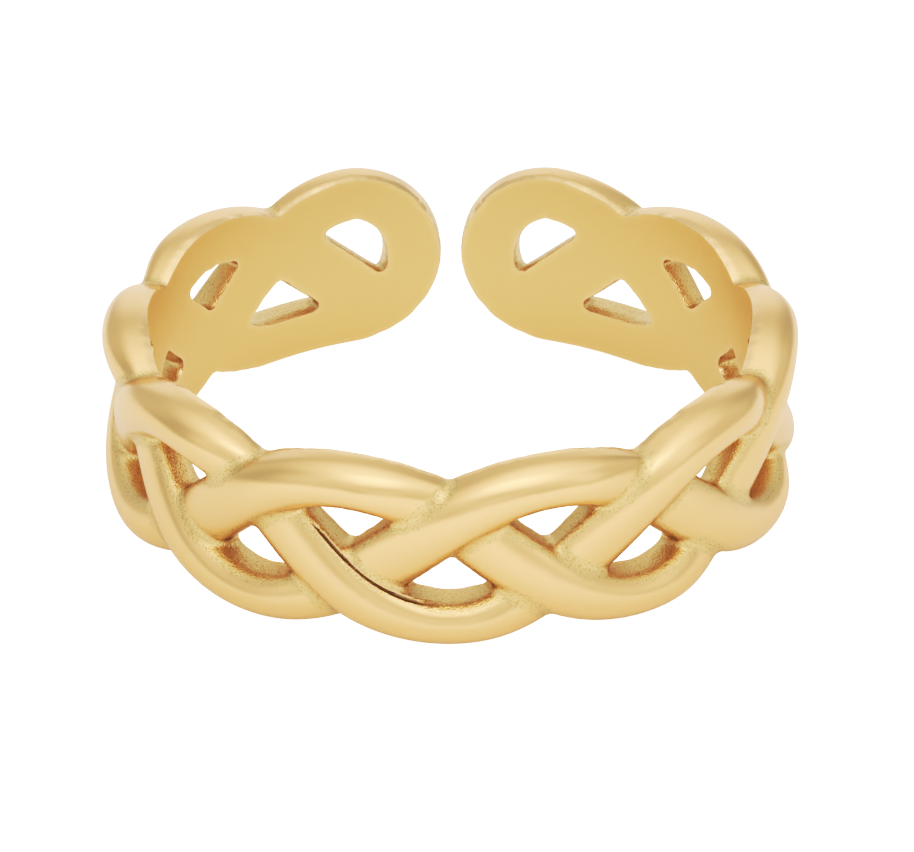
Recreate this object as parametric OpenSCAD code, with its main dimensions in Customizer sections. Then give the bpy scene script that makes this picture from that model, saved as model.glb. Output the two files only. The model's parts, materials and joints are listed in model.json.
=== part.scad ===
// Braided band ring: an open cast band of three plaited strands with rounded ends.
// It lies on its side. The bore runs along Z, the band stands on z = 0, and the opening faces +Y.
// Places on the band are given by the turn from the front (-Y) towards +X, and by height.

/* [Finger] */
// Diameter of the bore
bore_d = 17.2; // [15:0.1:22]
// Opening between the two ends, along the bore
end_gap = 0.54; // [0.3:0.02:3]

/* [Band] */
// Width of the band, along the finger
band_w = 5.54; // [5:0.02:6.6]
// Height of a strand above the bore where it is highest
strand_h = 1.32; // [1.2:0.02:2]
// Height of the straight wall beside a hole
hole_wall = 0.76; // [0.6:0.02:1.1]
// Height of the straight wall along the two outer edges
rim_wall = 0.56; // [0.3:0.02:1.1]
// How much each wall leans in, from the bore to its top
wall_lean = 0.04; // [0:0.01:0.12]

/* [Braid] */
// Length of a lobe along the bore, which is fitted to a whole number of pairs
lobe_len = 5.4; // [4.6:0.1:6.6]
// Width of a strand at its lobes, at the bore
strand_w = 1.42; // [1.2:0.02:1.7]
// Width of a strand where it crosses the middle of the band, at the bore
cross_w = 1.84; // [1.6:0.02:2.1]
// Width of the strand at the tip of an end, at the bore
end_w = 1.66; // [1.2:0.02:1.9]
// Depth that a strand dips where it passes under another
dip = 0.42; // [0.2:0.02:0.6]

/* [Hidden] */

bore_r = bore_d / 2;
mid_z = band_w / 2;
swing = (band_w - strand_w) / 2;
reach = (band_w - end_w) / 2;

// Share of the swing that a third harmonic adds, which straightens the diagonals
snap = 0.025;

// A strand dives steeply under its neighbour and comes up slowly: a higher power is steeper
dive_power = 8;
rise_power = 3;

// A higher power keeps the lower rim walls nearer to the band's outer edges
rim_power = 6;

// How far a tucked strand reaches into its loop, as a share of the swing
tuck_share = 0.62;

// Turns from the front, in degrees, to the places along half of the band
pitch = 180 / round(PI * bore_d / lobe_len / 2);
last_lobe = 180 - pitch / 2;
last_trough = last_lobe - pitch / 2;
end_turn = 180 - arc_turn(end_gap / 2 + band_w / 2);
tuck_turn = end_turn + arc_turn(tuck_share * swing);

// Length of the taper where a loop joins its strand, and how much it takes off the loop's width and height
join_l = 0.26;
join_taper = 0.06;

// Depth that the strands reach inside the bore before it is cut
bore_cut = 0.2;

// Stations along a strand, round the loop of an end and back along its lower edge, and points over a crown
strand_step = pitch / 10;
loop_steps = 12;
back_steps = 4;
crown_steps = 8;

// Turn that an arc along the bore takes
function arc_turn(arc) = arc / bore_r * 180 / PI;

// Phase of a strand: 90 at a lobe on the upper edge, 270 at a lobe on the lower edge
function phase(strand, turn) = 90 + (turn - pitch / 2) * 120 / pitch + 120 * strand;

function strand_z(x) = mid_z + swing * (sin(x) + snap * sin(3 * x)) / (1 - snap);

// How far a strand is past the nearest place, at phase 150 or 330, where it lies under its neighbour
function past_under(x) = ((x - 150) % 180 + 270) % 180 - 90;

// Height of a strand above the bore. It is over its neighbour at phases 30 and 210.
function crest(x) =
    let (past = past_under(x))
    strand_h - dip * pow(cos(past), past < 0 ? dive_power : rise_power);

function half_w(x) = strand_w / 2 + (cross_w - strand_w) / 2 * pow(cos(x), 2);

// What a strand does at an end, on side 1 or -1: 0 loops round it, 1 is tucked into the loop, 2 joins the loop
function role(strand, side) =
    round(((side * (phase(strand, side * last_lobe) - 90)) % 360 + 360) % 360 / 120) % 3;

function stop_turn(strand, side) =
    [end_turn, tuck_turn, last_trough][role(strand, side)];

// A tucked strand stays low from its last crossing on
function stays_low(strand, turn) = turn > last_trough && role(strand, 1) == 1;

// Station of a strand: turn, height along Z, crest above the bore, half width
function strand_at(strand, turn) =
    let (x = phase(strand, turn))
    [turn, strand_z(x), stays_low(strand, turn) ? strand_h - dip : crest(x), half_w(x)];

// The loop of an end on side 1 or -1, from the upper strand round the tip and back to the last lower lobe.
// Past it the loop tapers inside the strand that it joins.
function loop_at(side) = [
    for (i = [1 : loop_steps])
        let (t = 180 * i / loop_steps)
        [
            side * (end_turn + arc_turn(reach * sin(t))),
            mid_z + swing * cos(t),
            crest(90),
            strand_w / 2 + (end_w - strand_w) / 2 * pow(sin(t), 2)
        ],
    for (i = [1 : back_steps])
        let (turn = end_turn + (last_trough - end_turn) * i / back_steps)
        [side * turn, mid_z - swing, crest(270), strand_w / 2],
    [side * (last_trough - arc_turn(join_l)), mid_z - swing, crest(270) - join_taper, strand_w / 2 - join_taper]
];

function reversed(list) = [for (i = [len(list) - 1 : -1 : 0]) list[i]];

// The stations of a strand between its two ends
function run_of(strand) =
    let (
        from = -stop_turn(strand, -1),
        to = stop_turn(strand, 1),
        steps = ceil((to - from) / strand_step)
    )
    [for (i = [0 : steps]) strand_at(strand, from + (to - from) * i / steps)];

function route_of(strand) = concat(
    role(strand, -1) == 0 ? reversed(loop_at(-1)) : [],
    run_of(strand),
    role(strand, 1) == 0 ? loop_at(1) : []
);

// Straight wall at an edge of a strand: lower towards the band's outer edges, and where the strand dips
function wall_h(z, crest_h) =
    let (outwards = min(1, abs(z - mid_z) / mid_z))
    (hole_wall + (rim_wall - hole_wall) * pow(outwards, rim_power)) * crest_h / strand_h;

// A point of the band from its arc along the bore, its height along Z and its height above the bore
function wrapped(arc, z, above) =
    let (turn = arc_turn(arc))
    [(bore_r + above) * sin(turn), -(bore_r + above) * cos(turn), z];

// The section of a station, whose side direction is across: foot, crown from edge to edge, foot
function section_at(station, across) =
    let (
        arc = station[0] * PI / 180 * bore_r,
        side_point = function (side) [arc + across[0] * side, station[1] + across[1] * side],
        foot_w = station[3] + wall_lean * bore_cut / hole_wall,
        top_w = station[3] - wall_lean,
        left = side_point(-foot_w),
        right = side_point(foot_w)
    )
    [
        wrapped(left[0], left[1], -bore_cut),
        for (i = [0 : crown_steps])
            let (
                t = 180 * i / crown_steps,
                p = side_point(-top_w * cos(t)),
                wall = wall_h(t < 90 ? left[1] : right[1], station[2])
            )
            wrapped(p[0], p[1], wall + (station[2] - wall) * sin(t)),
        wrapped(right[0], right[1], -bore_cut)
    ];

// Direction across a route at station i, along the unrolled bore
function across_at(route, i) =
    let (
        a = route[max(i - 1, 0)],
        b = route[min(i + 1, len(route) - 1)],
        along = [(b[0] - a[0]) * PI / 180 * bore_r, b[1] - a[1]]
    )
    [-along[1], along[0]] / norm(along);

module strand(index) {
    route = route_of(index);
    sections = [for (i = [0 : len(route) - 1]) section_at(route[i], across_at(route, i))];
    n = len(sections[0]);
    last = (len(sections) - 1) * n;
    faces = [
        for (i = [0 : len(sections) - 2], j = [0 : n - 1])
            let (a = i * n + j, b = i * n + (j + 1) % n)
            each [[a, b, b + n], [a, b + n, a + n]],
        for (j = [1 : n - 2]) each [[0, j + 1, j], [last, last + j, last + j + 1]]
    ];
    polyhedron([for (s = sections) each s], faces);
}

module braided_band() {
    color([0.93, 0.8, 0.5])
    difference() {
        union() {
            for (i = [0 : 2]) strand(i);
        }
        translate([0, 0, -band_w])
            cylinder(r = bore_r, h = 3 * band_w, $fn = 180);
    }
}

braided_band();
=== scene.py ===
# Braided band ring: the cast braid with its filled valleys and worn edges, the gold finish,
# the camera and a soft white studio.
import json
import math

import bmesh
import bpy
from mathutils import Matrix, Vector, noise
from mathutils.bvhtree import BVHTree
from mathutils.kdtree import KDTree


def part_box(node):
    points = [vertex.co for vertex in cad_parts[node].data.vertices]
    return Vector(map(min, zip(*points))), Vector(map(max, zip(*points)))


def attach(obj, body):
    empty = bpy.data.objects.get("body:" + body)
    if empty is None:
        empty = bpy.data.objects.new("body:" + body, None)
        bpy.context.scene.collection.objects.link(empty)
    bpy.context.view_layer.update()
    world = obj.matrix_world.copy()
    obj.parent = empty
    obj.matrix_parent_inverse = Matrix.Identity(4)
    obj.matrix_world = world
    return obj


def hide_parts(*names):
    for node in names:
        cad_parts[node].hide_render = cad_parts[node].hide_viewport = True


mm = 0.001

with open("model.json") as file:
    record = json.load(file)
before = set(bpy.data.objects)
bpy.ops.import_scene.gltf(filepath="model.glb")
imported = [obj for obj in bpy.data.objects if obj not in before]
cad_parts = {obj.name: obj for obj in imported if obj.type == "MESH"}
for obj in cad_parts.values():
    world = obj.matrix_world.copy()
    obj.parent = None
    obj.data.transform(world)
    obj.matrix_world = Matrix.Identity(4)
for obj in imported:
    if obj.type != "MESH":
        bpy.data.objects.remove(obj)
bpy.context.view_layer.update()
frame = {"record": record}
print("frame loaded")


# Camera, at the photo's angle to the ring

view = {
    "turn": 0.27,        # degrees from the front towards +X
    "rise": 28.95,       # degrees above the floor
    "roll": -0.28,       # degrees
    "distance": 204.0,   # mm from the middle of the ring
    "lens": 280.7,       # mm, on the sensor below
    "sensor": 36.0,      # mm
    "middle": 2.8,       # mm, height of the ring's middle
    "aimRight": 0.184,   # mm, aim to the right of the middle in the picture
    "aimDown": 0.96,     # mm, aim below the middle in the picture
}


def makeCamera(cfg):
    turn = math.radians(cfg["turn"])
    rise = math.radians(cfg["rise"])
    middle = Vector((0, 0, cfg["middle"]))
    back = Vector((math.sin(turn) * math.cos(rise), -math.cos(turn) * math.cos(rise), math.sin(rise)))
    right = Vector((math.cos(turn), math.sin(turn), 0))
    place = middle + back * cfg["distance"]
    aim = middle + right * cfg["aimRight"] - back.cross(right) * cfg["aimDown"]
    data = bpy.data.cameras.new("camera")
    data.lens = cfg["lens"]
    data.sensor_width = cfg["sensor"]
    data.clip_start = 10 * mm
    data.clip_end = 10
    camera = bpy.data.objects.new("camera", data)
    facing = (aim - place).to_track_quat("-Z", "Y").to_matrix().to_4x4()
    roll = Matrix.Rotation(math.radians(cfg["roll"]), 4, "Z")
    camera.matrix_world = Matrix.Translation(place * mm) @ facing @ roll
    bpy.context.scene.collection.objects.link(camera)
    bpy.context.scene.camera = camera


makeCamera(view)
print("camera set")


# The braid. Lengths are in mm until the mesh is finished. A place on the band is its turn from the
# front in degrees and its height along Z. A station of a strand is turn, height, crest and half width.

cadLow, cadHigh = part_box("braided_band")
braid = {
    "boreRadius": frame["record"]["mounts"][0]["dims"]["r_mm"],
    "width": (cadHigh.z - cadLow.z) / mm,
    "lobes": 10,          # along each edge in a full turn
    "endGap": 0.54,
    "strandHeight": 1.32,
    "holeWall": 0.76,
    "rimWall": 0.56,
    "rimPower": 6,        # a higher power keeps the lower rim walls nearer to the outer edges
    "wallLean": 0.04,
    "strandWidth": 1.42,
    "crossWidth": 1.84,
    "endWidth": 1.66,
    "dip": 0.42,          # where a strand passes under another
    "divePower": 8,       # a strand dives steeply
    "risePower": 3,       # and comes up slowly
    "snap": 0.025,        # third harmonic, which straightens the diagonals
    "tuckShare": 0.62,    # how far a tucked strand reaches into its loop, of the swing
    "joinLength": 0.26,   # taper where a loop joins its strand
    "joinTaper": 0.06,
    "step": 0.15,         # between stations
    "loopSteps": 48,
    "backSteps": 20,
    "sectionSides": 40,
}
pitch = 360 / braid["lobes"]
midZ = braid["width"] / 2
swing = (braid["width"] - braid["strandWidth"]) / 2
reach = (braid["width"] - braid["endWidth"]) / 2


def clamped(value):
    return max(0, min(1, value))


def arcTurn(arc):
    return math.degrees(arc / braid["boreRadius"])


lastLobe = 180 - pitch / 2
lastTrough = lastLobe - pitch / 2
endTurn = 180 - arcTurn(braid["endGap"] / 2 + midZ)
tuckTurn = endTurn + arcTurn(braid["tuckShare"] * swing)


def phaseAt(strand, turn):
    return 90 + (turn - pitch / 2) * 120 / pitch + 120 * strand


def roleAt(strand, side):
    # 0 loops round the end, 1 is tucked into the loop, 2 joins the loop
    return round((side * (phaseAt(strand, side * lastLobe) - 90)) % 360 / 120) % 3


def crestAt(phase):
    past = (phase - 60) % 180 - 90   # from the nearest place where the strand is under its neighbour
    power = braid["divePower"] if past < 0 else braid["risePower"]
    return braid["strandHeight"] - braid["dip"] * math.cos(math.radians(past)) ** power


def halfWidthAt(widest, share):
    return (braid["strandWidth"] + (widest - braid["strandWidth"]) * share) / 2


def strandStation(strand, turn):
    phase = phaseAt(strand, turn)
    x = math.radians(phase)
    z = midZ + swing * (math.sin(x) + braid["snap"] * math.sin(3 * x)) / (1 - braid["snap"])
    halfWidth = halfWidthAt(braid["crossWidth"], math.cos(x) ** 2)
    staysLow = turn > lastTrough and roleAt(strand, 1) == 1
    crest = braid["strandHeight"] - braid["dip"] if staysLow else crestAt(phase)
    return (turn, z, crest, halfWidth)


def loopStations(side):
    # from the upper strand round the tip of an end and back to the last lower lobe
    stations = []
    for i in range(1, braid["loopSteps"] + 1):
        t = math.pi * i / braid["loopSteps"]
        halfWidth = halfWidthAt(braid["endWidth"], math.sin(t) ** 2)
        turn = endTurn + arcTurn(reach * math.sin(t))
        stations.append((side * turn, midZ + swing * math.cos(t), crestAt(90), halfWidth))
    crest = crestAt(270)
    halfWidth = braid["strandWidth"] / 2
    for i in range(1, braid["backSteps"] + 1):
        turn = endTurn + (lastTrough - endTurn) * i / braid["backSteps"]
        stations.append((side * turn, midZ - swing, crest, halfWidth))
    turn = lastTrough - arcTurn(braid["joinLength"])
    stations.append((side * turn, midZ - swing, crest - braid["joinTaper"], halfWidth - braid["joinTaper"]))
    return stations


def routeOf(strand):
    stops = (endTurn, tuckTurn, lastTrough)
    start = -stops[roleAt(strand, -1)]
    stop = stops[roleAt(strand, 1)]
    steps = math.ceil((stop - start) / arcTurn(braid["step"]))
    route = [strandStation(strand, start + (stop - start) * i / steps) for i in range(steps + 1)]
    if roleAt(strand, -1) == 0:
        route = loopStations(-1)[::-1] + route
    if roleAt(strand, 1) == 0:
        route = route + loopStations(1)
    return route


def wrapped(arc, z, above):
    turn = math.radians(arcTurn(arc))
    radius = braid["boreRadius"] + above
    return Vector((radius * math.sin(turn), -radius * math.cos(turn), z))


def wallAt(z, crest):
    outwards = min(1, abs(z - midZ) / midZ)
    height = braid["holeWall"] + (braid["rimWall"] - braid["holeWall"]) * outwards ** braid["rimPower"]
    return height * crest / braid["strandHeight"]


def sectionPoint(station, across, t):
    # t runs 0 to 1 over the crown, and 1 to 2 down the wall, under the foot and up the other wall
    turn, z, crest, halfWidth = station
    arc = math.radians(turn) * braid["boreRadius"]
    side = -math.cos(math.pi * t) if t <= 1 else max(-1, min(1, (1.5 - t) * 4))
    edge = z + math.copysign(halfWidth, side) * across[1]
    wall = wallAt(edge, crest)
    if t <= 1:
        above = wall + (crest - wall) * math.sin(math.pi * t)
    else:
        above = wall * max(0, abs(1.5 - t) * 4 - 1)
    lean = braid["wallLean"] * min(1, above / braid["holeWall"])
    side = side * (halfWidth - lean)
    return wrapped(arc + across[0] * side, z + across[1] * side, above)


def inOrder(things):
    # each once, in the order in which they first come
    return list(dict.fromkeys(things))


def ringEdges(ring):
    members = set(ring)
    edges = inOrder(e for v in ring for e in v.link_edges)
    return [e for e in edges if e.verts[0] in members and e.verts[1] in members]


def sweepStrand(bm, route):
    # extrudes a ring of the section from station to station along the route
    place = bm.verts.layers.float["place"]
    ring = bmesh.ops.create_circle(bm, cap_ends=True, segments=braid["sectionSides"], radius=1)["verts"]
    for i, v in enumerate(ring):
        v[place] = 2 * i / braid["sectionSides"]
    for i, station in enumerate(route):
        if i > 0:
            extruded = bmesh.ops.extrude_edge_only(bm, edges=ringEdges(ring))["geom"]
            ring = [g for g in extruded if isinstance(g, bmesh.types.BMVert)]
        before = route[max(i - 1, 0)]
        after = route[min(i + 1, len(route) - 1)]
        along = Vector((math.radians(after[0] - before[0]) * braid["boreRadius"], after[1] - before[1]))
        along.normalize()
        for v in ring:
            v.co = sectionPoint(station, (-along.y, along.x), v[place])
    bmesh.ops.contextual_create(bm, geom=ringEdges(ring))


def newObject(name, bm):
    mesh = bpy.data.meshes.new(name)
    bm.to_mesh(mesh)
    bm.free()
    obj = bpy.data.objects.new(name, mesh)
    bpy.context.scene.collection.objects.link(obj)
    return obj


def applyModifiers(obj):
    # swaps the mesh for what its modifiers make of it
    depsgraph = bpy.context.evaluated_depsgraph_get()
    mesh = bpy.data.meshes.new_from_object(obj.evaluated_get(depsgraph))
    obj.modifiers.clear()
    obj.data = mesh


# The casting: strands fused into one skin, with rounded edges, filled valleys and a true bore

casting = {
    "voxel": 0.103,
    "smoothPasses": 2,
    "smoothing": 0.5,                 # of each pass, as a share of the way to the neighbours' middle
    "followSmoothing": 0.3,
    "creaseDepth": 0.05,              # of a crease, in voxels, from which it is filled
    "fillPasses": ((2, 4), (1, 6)),   # rings of vertices around a crease, passes
    "edgeHeight": 0.09,               # of an edge, in voxels, from which it is rounded
    "edgeRings": 1,                   # rings of vertices around an edge
    "edgePasses": 2,
    "facingBore": 0.82,               # of a normal, towards the axis, from which a face is on the bore
    "borderPasses": 6,                # along the border of the bore
    "besideRings": 2,                 # rings of vertices beside the border, which then follow it
    "besidePasses": 2,
}


def smoothVerts(bm, verts, passes, factor):
    for i in range(passes):
        bmesh.ops.smooth_vert(
            bm, verts=verts, factor=factor, use_axis_x=True, use_axis_y=True, use_axis_z=True)


def middleOf(verts):
    return sum((v.co for v in verts), Vector()) / len(verts)


def bulgeOf(v):
    # how far a vertex stands out of its neighbours, below 0 in a crease
    return (v.co - middleOf([e.other_vert(v) for e in v.link_edges])).dot(v.normal)


def grown(verts, rings):
    # the vertices with so many rings of neighbours
    verts = set(verts)
    for i in range(rings):
        verts.update([e.other_vert(v) for v in verts for e in v.link_edges])
    return verts


def fillValleys(bm):
    # rounds the creases where strands meet, most in their middle, and gives the places of the creases
    bm.normal_update()
    creases = [v for v in bm.verts if bulgeOf(v) < -casting["creaseDepth"] * casting["voxel"]]
    places = [v.co * mm for v in creases]
    for rings, passes in casting["fillPasses"]:
        smoothVerts(bm, list(grown(creases, rings)), passes, casting["smoothing"])
    return places


def outwardsAt(place):
    return Vector((place.x, place.y, 0)).normalized()


def facesBore(normal, place):
    return -normal.dot(outwardsAt(place)) > casting["facingBore"]


def trueBore(bm):
    # brings the faces towards the axis onto the bore, and gives them an even and crisp border
    bm.normal_update()
    faces = {f for f in bm.faces if facesBore(f.normal, f.calc_center_median())}
    border = [e for e in bm.edges if sum(f in faces for f in e.link_faces) == 1]
    beside = {}
    for e in border:
        for v in e.verts:
            beside.setdefault(v, []).append(e.other_vert(v))
    for i in range(casting["borderPasses"]):
        middles = [middleOf(others) for others in beside.values()]
        for v, middle in zip(beside, middles):
            v.co = v.co.lerp(middle, casting["smoothing"])
    follows = grown(beside, casting["besideRings"]) - set(beside)
    smoothVerts(bm, list(follows), casting["besidePasses"], casting["smoothing"])
    for v in {v for f in faces for v in f.verts}:
        outwards = outwardsAt(v.co)
        v.co += outwards * (braid["boreRadius"] - v.co.dot(outwards))
    for e in border:
        e.smooth = False


# The photo's ring has one dark groove, along the inner edge of a front strand

# Its dark colour is partly tarnish and partly painted shade.
groove = {
    "strand": 2,
    "from": -27.0,       # degrees
    "to": -1.5,
    "taper": 5.0,        # degrees, at each end
    "ahead": 1.0,        # degrees, over which the strand's climb is measured
    "inset": 0.07,       # mm, from the strand's edge
    "halfWidth": 0.036,  # mm
    "depth": 0.06,       # mm
    "around": 0.13,      # mm, to each side, where the mesh is made finer
    "cuts": 3,
}


def grooveAt(place):
    # how far a place is across the groove, and how deep the groove is there, from 0 to 1
    turn = math.degrees(math.atan2(place.x, -place.y))
    station = strandStation(groove["strand"], turn)
    ahead = strandStation(groove["strand"], turn + groove["ahead"])
    climb = (ahead[1] - station[1]) / (math.radians(groove["ahead"]) * braid["boreRadius"])
    across = (place.z - station[1]) / math.hypot(1, climb) - (station[3] - groove["inset"])
    onCrown = Vector((place.x, place.y)).length > braid["boreRadius"] + braid["holeWall"]
    share = min(turn - groove["from"], groove["to"] - turn) / groove["taper"]
    return across, clamped(share) if onCrown else 0


def cutGroove(bm):
    faces = []
    for face in bm.faces:
        across, share = grooveAt(face.calc_center_median())
        if share > 0 and abs(across) < groove["around"]:
            faces.append(face)
    edges = inOrder(e for face in faces for e in face.edges)
    bmesh.ops.subdivide_edges(bm, edges=edges, cuts=groove["cuts"], use_grid_fill=True)
    bm.normal_update()
    layer = bm.verts.layers.float.new("groove")
    for v in bm.verts:
        across, share = grooveAt(v.co)
        v[layer] = share * clamped(1 - (across / groove["halfWidth"]) ** 2)
    for v in bm.verts:
        v.co -= v.normal * groove["depth"] * v[layer]


def makeBand():
    bm = bmesh.new()
    bm.verts.layers.float.new("place")
    for strand in range(3):
        sweepStrand(bm, routeOf(strand))
    bmesh.ops.recalc_face_normals(bm, faces=bm.faces)
    sweeps = newObject("sweeps", bm)
    band = bpy.data.objects.new("braidedBand", sweeps.data.copy())
    bpy.context.scene.collection.objects.link(band)
    fuse = band.modifiers.new("fuse", "REMESH")
    fuse.mode = "VOXEL"
    fuse.voxel_size = casting["voxel"]
    applyModifiers(band)

    bm = bmesh.new()
    bm.from_mesh(band.data)
    smoothVerts(bm, bm.verts, casting["smoothPasses"], casting["smoothing"])
    bm.normal_update()
    edges = [v for v in bm.verts if bulgeOf(v) > casting["edgeHeight"] * casting["voxel"]]
    rounded = {v.index for v in grown(edges, casting["edgeRings"])}
    bm.to_mesh(band.data)
    bm.free()
    plain = band.vertex_groups.new(name="plain")
    plain.add([v.index for v in band.data.vertices if v.index not in rounded], 1, "REPLACE")
    follow = band.modifiers.new("follow", "SHRINKWRAP")   # back onto the strands, which smoothing shrank
    follow.target = sweeps
    follow.wrap_method = "NEAREST_SURFACEPOINT"
    follow.vertex_group = "plain"
    applyModifiers(band)
    band.vertex_groups.clear()
    bpy.data.objects.remove(sweeps)
    print("strands fused")

    bm = bmesh.new()
    bm.from_mesh(band.data)
    bm.verts.ensure_lookup_table()
    smoothVerts(bm, bm.verts, 1, casting["followSmoothing"])
    smoothVerts(bm, [bm.verts[i] for i in rounded], casting["edgePasses"], casting["smoothing"])
    creases = fillValleys(bm)
    trueBore(bm)
    cutGroove(bm)
    for face in bm.faces:
        face.smooth = True
    bmesh.ops.scale(bm, vec=(mm, mm, mm), verts=bm.verts)
    print("casting finished, triangles", sum(len(f.verts) - 2 for f in bm.faces))
    bm.to_mesh(band.data)
    bm.free()
    return band, creases


band, creases = makeBand()
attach(band, "root")
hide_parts("braided_band")


# What a polishing wheel left. "grain" is 0 where it reached and 1 in the valleys and holes, where the lumpy
# skin of the casting stays. "edge" is 1 along a sharp convex edge, which is rubbed bright, with a painted
# highlight.

polish = {
    "rays": 20,
    "rayReach": 2.4 * mm,
    "rayLift": 0.02 * mm,
    "sheltered": (0.05, 0.25),        # share of rays stopped where the grain begins, and where it is full
    "valleyReach": 0.4 * mm,          # from the middle of a valley to where its grain ends
    "lumpSize": 0.14 * mm,
    "lumpDepth": 0.01 * mm,
    "rubbedAndHighlit": (0.8 / mm, 2.4 / mm),   # bulge of an edge, over its spacing squared, likewise
}


def addLayer(mesh, name, values):
    layer = mesh.attributes.new(name, "FLOAT", "POINT")
    layer.data.foreach_set("value", values)


def hemisphere(count):
    # directions round +Z, more of them near it
    golden = math.pi * (3 - math.sqrt(5))
    for i in range(count):
        rise = math.sqrt((i + 0.5) / count)
        spread = math.sqrt(1 - rise * rise)
        yield Vector((spread * math.cos(golden * i), spread * math.sin(golden * i), rise))


def shelterOf(v, tree, rays):
    facing = v.normal.to_track_quat("Z", "Y").to_matrix()
    origin = v.co + v.normal * polish["rayLift"]
    stopped = sum(tree.ray_cast(origin, facing @ ray, polish["rayReach"])[0] is not None for ray in rays)
    return stopped / len(rays)


def shareOf(value, limits):
    # 0 at the first limit to 1 at the second
    return clamped((value - limits[0]) / (limits[1] - limits[0]))


def softened(verts, values):
    # each value averaged with those of the neighbours
    averages = []
    for v in verts:
        around = [values[e.other_vert(v).index] for e in v.link_edges]
        averages.append((values[v.index] + sum(around)) / (1 + len(around)))
    return averages


def addWear(obj, creases):
    tree = BVHTree.FromObject(obj, bpy.context.evaluated_depsgraph_get())
    rays = list(hemisphere(polish["rays"]))
    valleys = KDTree(len(creases))
    for i, place in enumerate(creases):
        valleys.insert(place, i)
    valleys.balance()
    bm = bmesh.new()
    bm.from_mesh(obj.data)
    grain = []
    edge = []
    for v in bm.verts:
        sheltered = shareOf(shelterOf(v, tree, rays), polish["sheltered"])
        inValley = clamped(1 - valleys.find(v.co)[2] / polish["valleyReach"])
        grain.append(0 if facesBore(v.normal, v.co) else max(sheltered, inValley))
        spacing = sum(e.calc_length() for e in v.link_edges) / len(v.link_edges)
        # along sharp convex edges: partly rubbed wear, partly a painted highlight
        edge.append(shareOf(bulgeOf(v) / spacing ** 2, polish["rubbedAndHighlit"]))
    grain = softened(bm.verts, grain)
    edge = softened(bm.verts, softened(bm.verts, edge))
    for v in bm.verts:
        lump = noise.noise(v.co / polish["lumpSize"])
        v.co += v.normal * lump * polish["lumpDepth"] * grain[v.index]
    bm.to_mesh(obj.data)
    bm.free()
    addLayer(obj.data, "grain", grain)
    addLayer(obj.data, "edge", edge)


addWear(band, creases)
print("wear measured")


# Gold. The groups below give the grain of the casting and the brushing of the bore.

gold = {
    "color": (0.875, 0.62, 0.355, 1),
    "boreColor": (0.87, 0.655, 0.37, 1),
    "grainColor": (0.81, 0.61, 0.35, 1),
    # painted shade: a darker, more orange colour in the grain's lowest pits
    "pitShadeColor": (0.64, 0.45, 0.22, 1),
    # dark groove colour: partly tarnish, partly painted shade in the narrow groove
    "grooveTarnishAndShadeColor": (0.22, 0.10, 0.03, 1),
    # lighter along sharp edges: partly rubbed wear, partly a painted highlight
    "rubbedEdgeAndHighlightColor": (0.92, 0.72, 0.48, 1),
    "roughness": 0.28,
    "boreRoughness": 0.38,
    "grainRoughness": 0.3,
    "edgeRoughness": 0.22,
    "grainSize": 0.05,      # mm
    "grainDepth": 0.012,    # mm
    "fineDetail": 3,
    "pitShade": (0.05, -0.35),  # height of the grain where the painted pit shade begins, and where it is full
    "grainShows": (0.3, 0.6),   # "grain" of the mesh where it begins to show, and where it is full
    "grainSpread": 0.6,     # unevenness of its border
    "wobbleSize": 0.16,     # mm, of this unevenness
    "wobbleDetail": 4,
    "boreSkin": 0.02,       # mm, in which a surface still counts as the bore
    "brushWidth": 0.1,      # mm across a brush line in the bore
    "brushLength": 2.5,     # mm along it
    "brushDepth": 0.003,    # mm
    "brushDetail": 3,
    "handSize": 1.3,        # mm, of the slight unevenness of hand polishing
    "handDepth": 0.012,     # mm
    "handDetail": 1,
}


def newGroup(name, inputs, outputs):
    group = bpy.data.node_groups.new(name, "ShaderNodeTree")
    for socket, kind in inputs:
        group.interface.new_socket(socket, in_out="INPUT", socket_type=kind)
    for socket, kind in outputs:
        group.interface.new_socket(socket, in_out="OUTPUT", socket_type=kind)
    return group, group.nodes.new("NodeGroupInput"), group.nodes.new("NodeGroupOutput")


def setOrLink(tree, socket, value):
    if isinstance(value, bpy.types.NodeSocket):
        tree.links.new(value, socket)
    else:
        socket.default_value = value


def mathNode(tree, operation, *values):
    node = tree.nodes.new("ShaderNodeMath")
    node.operation = operation
    for socket, value in zip(node.inputs, values):
        setOrLink(tree, socket, value)
    return node.outputs[0]


def rangeNode(tree, value, low, high):
    # 0 at low to 1 at high, eased
    node = tree.nodes.new("ShaderNodeMapRange")
    node.interpolation_type = "SMOOTHSTEP"
    node.inputs["From Min"].default_value = low
    node.inputs["From Max"].default_value = high
    tree.links.new(value, node.inputs["Value"])
    return node.outputs["Result"]


def mixNode(tree, factor, first, second):
    # a number or a colour, as second is
    node = tree.nodes.new("ShaderNodeMix")
    node.data_type = "FLOAT" if isinstance(second, float) else "RGBA"
    setOrLink(tree, node.inputs["Factor"], factor)
    setOrLink(tree, node.inputs["A"], first)
    setOrLink(tree, node.inputs["B"], second)
    return node.outputs["Result"]


def noiseNode(tree, vector, size, detail):
    node = tree.nodes.new("ShaderNodeTexNoise")
    node.inputs["Detail"].default_value = detail
    node.inputs["Scale"].default_value = 1 / (size * mm)
    tree.links.new(vector, node.inputs["Vector"])
    return node.outputs["Fac"]


def attributeNode(tree, name):
    node = tree.nodes.new("ShaderNodeAttribute")
    node.attribute_name = name
    return node.outputs["Fac"]


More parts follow.
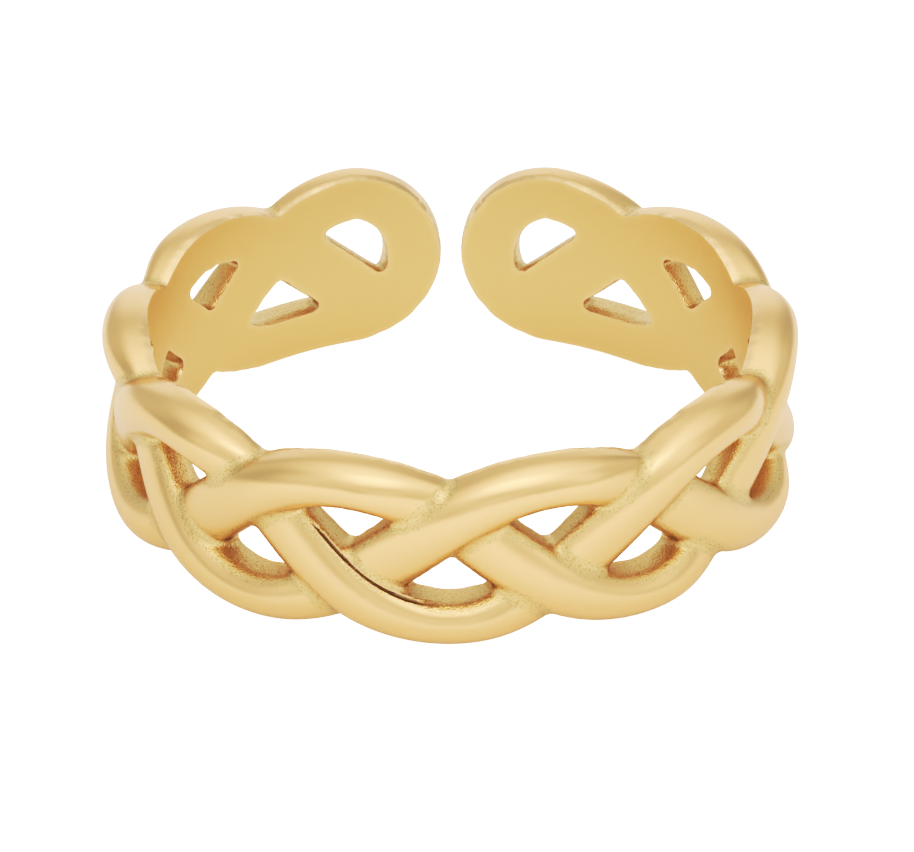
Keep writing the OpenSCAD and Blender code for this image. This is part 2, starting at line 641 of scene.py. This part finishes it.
def makeGrainGroup(cfg):
    # the skin of a casting: small rounded grains over a finer noise, with painted shade in the pits where
    # it is lowest
    group, given, result = newGroup(
        "castGrain",
        [("Vector", "NodeSocketVector"), ("Size", "NodeSocketFloat"), ("Mask", "NodeSocketFloat")],
        [("Height", "NodeSocketFloat"), ("PitShade", "NodeSocketFloat")])
    scale = mathNode(group, "DIVIDE", 1.0, given.outputs["Size"])
    grains = group.nodes.new("ShaderNodeTexVoronoi")
    grains.feature = "SMOOTH_F1"
    fine = group.nodes.new("ShaderNodeTexNoise")
    fine.inputs["Detail"].default_value = cfg["fineDetail"]
    for node in (grains, fine):
        group.links.new(given.outputs["Vector"], node.inputs["Vector"])
        group.links.new(scale, node.inputs["Scale"])
    height = mathNode(group, "SUBTRACT", fine.outputs["Fac"], grains.outputs["Distance"])
    group.links.new(mathNode(group, "MULTIPLY", height, given.outputs["Mask"]), result.inputs["Height"])
    # painted shade where the grain is lowest
    pitShade = rangeNode(group, height, *cfg["pitShade"])
    group.links.new(mathNode(group, "MULTIPLY", pitShade, given.outputs["Mask"]), result.inputs["PitShade"])
    return group


def makeBrushGroup(cfg):
    # fine lines along the axis of the bore
    group, given, result = newGroup(
        "boreBrush",
        [("Vector", "NodeSocketVector"), ("Width", "NodeSocketFloat"), ("Length", "NodeSocketFloat"),
         ("Mask", "NodeSocketFloat")],
        [("Height", "NodeSocketFloat")])
    parts = group.nodes.new("ShaderNodeSeparateXYZ")
    group.links.new(given.outputs["Vector"], parts.inputs[0])
    stretched = group.nodes.new("ShaderNodeCombineXYZ")
    for axis, size in (("X", "Width"), ("Y", "Width"), ("Z", "Length")):
        place = mathNode(group, "DIVIDE", parts.outputs[axis], given.outputs[size])
        group.links.new(place, stretched.inputs[axis])
    lines = group.nodes.new("ShaderNodeTexNoise")
    lines.inputs["Scale"].default_value = 1
    lines.inputs["Detail"].default_value = cfg["brushDetail"]
    group.links.new(stretched.outputs[0], lines.inputs["Vector"])
    height = mathNode(group, "MULTIPLY", lines.outputs["Fac"], given.outputs["Mask"])
    group.links.new(height, result.inputs["Height"])
    return group


def placeGroup(tree, name, settings):
    node = tree.nodes.new("ShaderNodeGroup")
    node.node_tree = bpy.data.node_groups[name]
    for socket, value in settings.items():
        setOrLink(tree, node.inputs[socket], value)
    return node.outputs


def makeGold(cfg):
    material = bpy.data.materials.new("gold")
    material.use_nodes = True
    tree = material.node_tree
    shader = tree.nodes["Principled BSDF"]
    shader.inputs["Metallic"].default_value = 1
    where = tree.nodes.new("ShaderNodeTexCoord").outputs["Object"]

    # masks: where the casting's grain is left, and the bore
    wobble = noiseNode(tree, where, cfg["wobbleSize"], cfg["wobbleDetail"])
    uneven = mathNode(tree, "MULTIPLY", mathNode(tree, "SUBTRACT", wobble, 0.5), cfg["grainSpread"])
    left = mathNode(tree, "ADD", attributeNode(tree, "grain"), uneven)
    grainy = rangeNode(tree, left, *cfg["grainShows"])
    edge = attributeNode(tree, "edge")
    parts = tree.nodes.new("ShaderNodeSeparateXYZ")
    tree.links.new(where, parts.inputs[0])
    squares = [mathNode(tree, "MULTIPLY", parts.outputs[a], parts.outputs[a]) for a in ("X", "Y")]
    radius = mathNode(tree, "SQRT", mathNode(tree, "ADD", *squares))
    inBore = mathNode(tree, "LESS_THAN", radius, (braid["boreRadius"] + cfg["boreSkin"]) * mm)

    # heights are in mm
    grain = placeGroup(tree, "castGrain", {"Vector": where, "Size": cfg["grainSize"] * mm, "Mask": grainy})
    brush = placeGroup(tree, "boreBrush", {
        "Vector": where,
        "Width": cfg["brushWidth"] * mm,
        "Length": cfg["brushLength"] * mm,
        "Mask": inBore,
    })
    hand = noiseNode(tree, where, cfg["handSize"], cfg["handDetail"])
    height = mathNode(tree, "MULTIPLY", hand, cfg["handDepth"])
    height = mathNode(tree, "MULTIPLY_ADD", grain["Height"], cfg["grainDepth"], height)
    height = mathNode(tree, "MULTIPLY_ADD", brush["Height"], cfg["brushDepth"], height)
    bump = tree.nodes.new("ShaderNodeBump")
    bump.inputs["Strength"].default_value = 1
    bump.inputs["Distance"].default_value = mm
    tree.links.new(height, bump.inputs["Height"])
    tree.links.new(bump.outputs["Normal"], shader.inputs["Normal"])

    color = mixNode(tree, inBore, cfg["color"], cfg["boreColor"])
    color = mixNode(tree, grainy, color, cfg["grainColor"])
    # painted shade in the pits of the grain
    color = mixNode(tree, grain["PitShade"], color, cfg["pitShadeColor"])
    # painted highlight with rubbed wear along sharp edges
    color = mixNode(tree, edge, color, cfg["rubbedEdgeAndHighlightColor"])
    # the groove's tarnish and painted shade
    color = mixNode(tree, attributeNode(tree, "groove"), color, cfg["grooveTarnishAndShadeColor"])
    tree.links.new(color, shader.inputs["Base Color"])
    rough = mixNode(tree, inBore, cfg["roughness"], cfg["boreRoughness"])
    rough = mixNode(tree, grainy, rough, cfg["grainRoughness"])
    tree.links.new(mixNode(tree, edge, rough, cfg["edgeRoughness"]), shader.inputs["Roughness"])
    return material


makeGrainGroup(gold)
makeBrushGroup(gold)
band.data.materials.clear()
band.data.materials.append(makeGold(gold))
print("gold made")


# Floor, and a white room that is brighter towards each of its soft sources

studio = {
    "floorSize": 0.6,
    "floorColor": (0.85, 0.85, 0.85, 1),
    "floorRoughness": 0.9,
    "floorGlow": 0.17,                     # of the floor as the ring reflects it
    "floorWhite": (1.3, 1.3, 1.3, 1),      # as the camera sees it
    "floorPatches": {
        # name: axis, from and to in m, brightness added beyond
        "front": ("Y", -6 * mm, -22 * mm, 0.19),
    },
    "room": 0.5,
    "roomColor": (1, 1, 1, 1),
    "sources": {
        # name: its turn and rise, how far from there it is full and how far it reaches, all in degrees,
        # and the brightness it adds
        "overhead": (0, 88, 12, 30, 0.34),
        "ceiling": (0, 90, 25, 55, 0.52),
        "back": (180, 50, 8, 34, 0.17),
        "backLow": (180, 12, 4, 28, 0.62),
        "backLeft": (-135, 20, 8, 36, 0.21),
        "backRight": (135, 20, 8, 36, 0.11),
        "left": (-90, 30, 12, 48, 0.12),
        "right": (90, 30, 12, 48, 0.33),
        "frontHigh": (0, 60, 8, 32, 0.61),
        "front": (0, 32, 8, 32, 0.18),
        "frontLow": (0, 8, 4, 26, 0.43),
        "frontLeft": (-45, 25, 8, 36, 0.46),
        "frontRight": (45, 25, 8, 36, 0.48),
    },
}


def makeFloor(cfg):
    bm = bmesh.new()
    bmesh.ops.create_grid(bm, x_segments=2, y_segments=2, size=cfg["floorSize"])
    floor = newObject("floor", bm)
    material = bpy.data.materials.new("floor")
    material.use_nodes = True
    tree = material.node_tree
    shader = tree.nodes["Principled BSDF"]
    shader.inputs["Base Color"].default_value = cfg["floorColor"]
    shader.inputs["Roughness"].default_value = cfg["floorRoughness"]
    shader.inputs["Emission Strength"].default_value = 1
    parts = tree.nodes.new("ShaderNodeSeparateXYZ")
    tree.links.new(tree.nodes.new("ShaderNodeTexCoord").outputs["Object"], parts.inputs[0])
    glow = cfg["floorGlow"]
    for axis, start, end, added in cfg["floorPatches"].values():
        beyond = rangeNode(tree, parts.outputs[axis], start, end)
        glow = mathNode(tree, "MULTIPLY_ADD", beyond, added, glow)
    rays = tree.nodes.new("ShaderNodeLightPath")
    shown = mixNode(tree, rays.outputs["Is Camera Ray"], glow, cfg["floorWhite"])
    tree.links.new(shown, shader.inputs["Emission Color"])
    floor.data.materials.append(material)


def makeRoom(cfg):
    world = bpy.data.worlds.new("room")
    world.use_nodes = True
    tree = world.node_tree
    direction = tree.nodes.new("ShaderNodeTexCoord").outputs["Generated"]
    bright = cfg["room"]
    for turn, rise, full, end, added in cfg["sources"].values():
        turn = math.radians(turn)
        rise = math.radians(rise)
        facing = tree.nodes.new("ShaderNodeVectorMath")
        facing.operation = "DOT_PRODUCT"
        facing.inputs[1].default_value = (
            math.sin(turn) * math.cos(rise), -math.cos(turn) * math.cos(rise), math.sin(rise))
        tree.links.new(direction, facing.inputs[0])
        near = rangeNode(
            tree, facing.outputs["Value"], math.cos(math.radians(end)), math.cos(math.radians(full)))
        bright = mathNode(tree, "MULTIPLY_ADD", near, added, bright)
    background = tree.nodes["Background"]
    background.inputs["Color"].default_value = cfg["roomColor"]
    tree.links.new(bright, background.inputs["Strength"])
    bpy.context.scene.world = world


makeFloor(studio)
makeRoom(studio)
print("studio lit")


# The film: how bright each brightness of the scene comes out, steeper in the middle and soft at the top

film = {
    "white": 1.6,
    "points": ((0.2, 0.1), (0.5, 0.46), (0.8, 0.72), (1.3, 0.96)),
}


def setFilm(cfg):
    settings = bpy.context.scene.view_settings
    settings.view_transform = "Standard"
    settings.use_curve_mapping = True
    curves = settings.curve_mapping
    curves.white_level = (cfg["white"],) * 3
    for bright, shown in cfg["points"]:
        curves.curves[3].points.new(bright / cfg["white"], shown)
    curves.update()


setFilm(film)
